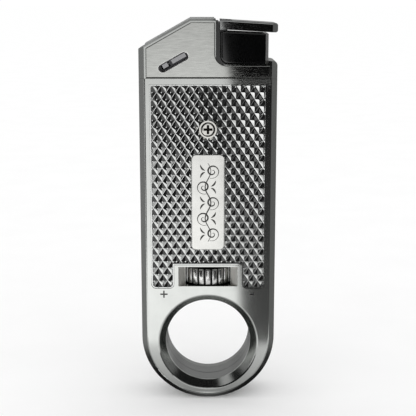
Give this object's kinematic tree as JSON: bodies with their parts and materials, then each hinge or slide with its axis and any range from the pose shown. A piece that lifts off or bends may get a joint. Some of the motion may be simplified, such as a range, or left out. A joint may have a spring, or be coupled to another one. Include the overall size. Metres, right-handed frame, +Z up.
{
  "type": "pocket lighter",
  "caption": "Upright refillable pocket lighter with finger ring, knurled grip panels, flame wheel, thumb lever, spark wheel and hinged lid over a wind guard.",
  "frame": {"origin": "middle of the footprint, at the lowest point of the finger ring", "axes": "+Z up along the lighter from ring to lid, -Y the front with the nameplate, +X the burner side"},
  "size_m": [0.036, 0.0144, 0.1035],
  "materials": {
    "satin_nickel": "satin, bead-blasted and lightly brushed",
    "brushed_nickel": "horizontal brushing",
    "chrome_knurl": "bright plated pyramids",
    "polished_steel": "polished",
    "nameplate_steel": "fine satin, blank",
    "screw_steel": "bright zinc",
    "wheel_steel": "polished flutes",
    "slot_steel": "fine satin",
    "black_enamel": "gloss black",
    "lid_nickel": "polished satin",
    "lever_nickel": "satin",
    "dark_steel": "hardened, oiled",
    "spring_steel": "drawn wire and strip",
    "brass": "turned",
    "flint_metal": "dull cast",
    "tank_plastic": "moulded",
    "seal_rubber": "moulded"
  },
  "bodies": {
    "case": {"case_frame": "satin_nickel", "front_cover": "satin_nickel", "rear_cover": "satin_nickel", "head_casing": "satin_nickel", "ring_liners": "polished_steel", "front_grip_panel": "chrome_knurl", "rear_grip_panel": "chrome_knurl", "nameplate": "nameplate_steel", "front_case_screw": "screw_steel", "rear_case_screw": "screw_steel", "screw_washers": "screw_steel", "left_head_screw": "screw_steel", "right_head_screw": "screw_steel", "gas_tank": "tank_plastic", "tank_cap": "tank_plastic", "regulator_valve": "brass", "gas_tube": "brass", "valve_body": "brass", "fill_valve": "brass", "burner_base": "brass", "flint_block": "dark_steel", "wheel_pivot_pin": "dark_steel", "head_front_plate": "brushed_nickel", "head_rear_plate": "brushed_nickel", "slot_bar": "slot_steel", "flint": "flint_metal", "spark_wheel_axle": "dark_steel", "lever_pivot_pin": "dark_steel", "valve_fork_pin": "dark_steel", "lid_hinge_pin": "dark_steel", "wind_guard": "black_enamel", "lever_spring": "spring_steel", "flint_spring": "spring_steel", "lid_spring": "spring_steel", "regulator_seal": "seal_rubber", "fill_valve_seal": "seal_rubber"},
    "lid": {"lid": "lid_nickel"},
    "thumb_lever": {"thumb_lever": "lever_nickel", "ratchet_pawl": "spring_steel"},
    "spark_wheel": {"spark_wheel": "dark_steel", "ratchet_wheel": "dark_steel"},
    "valve_fork": {"valve_fork": "spring_steel"},
    "burner_nozzle": {"burner_nozzle": "brass"},
    "flint_slide": {"flint_slider": "slot_steel", "flint_push_rod": "spring_steel"},
    "adjuster_wheel": {"adjuster_wheel": "wheel_steel", "regulator_spindle": "brass"}
  },
  "joints": [
    {"name": "lid_hinge", "type": "hinge", "parent": "case", "child": "lid", "pos_m": [0.00445, 0, 0.1016], "axis": [0, -1, 0], "range_deg": [0, 105]},
    {"name": "thumb_press", "type": "hinge", "parent": "case", "child": "thumb_lever", "pos_m": [-0.0148, 0, 0.094], "axis": [0, 1, 0], "range_deg": [0, 5.5], "stiffness_Nm_per_rad": 0.05, "springref_deg": -2.86, "deforming": ["lever_spring"]},
    {"name": "spark_wheel_turn", "type": "hinge", "parent": "case", "child": "spark_wheel", "pos_m": [0.0006, 0, 0.0964], "axis": [0, 1, 0], "range_deg": [-48, 0]},
    {"name": "valve_fork_rock", "type": "hinge", "parent": "case", "child": "valve_fork", "pos_m": [0.0016, 0, 0.0906], "axis": [0, 1, 0], "range_deg": [-7, 0]},
    {"name": "nozzle_lift", "type": "slide", "parent": "case", "child": "burner_nozzle", "axis": [0, 0, 1], "range_m": [0, 0.00115]},
    {"name": "flint_retract", "type": "slide", "parent": "case", "child": "flint_slide", "axis": [-0.8746, 0, -0.4848], "range_m": [0, 0.0006], "stiffness_N_per_m": 200, "springref_m": -0.001, "deforming": ["flint_spring"]},
    {"name": "flame_adjust", "type": "hinge", "parent": "case", "child": "adjuster_wheel", "pos_m": [0, 0, 0.035], "axis": [0, 0, 1], "range_deg": [-120, 120]}
  ],
  "couplings": [
    {"joint": "spark_wheel_turn", "follows": "thumb_press", "ratio": -8.5},
    {"joint": "valve_fork_rock", "follows": "thumb_press", "ratio": -1.25},
    {"joint": "nozzle_lift", "follows": "thumb_press", "m_per_rad": 0.011459}
  ]
}
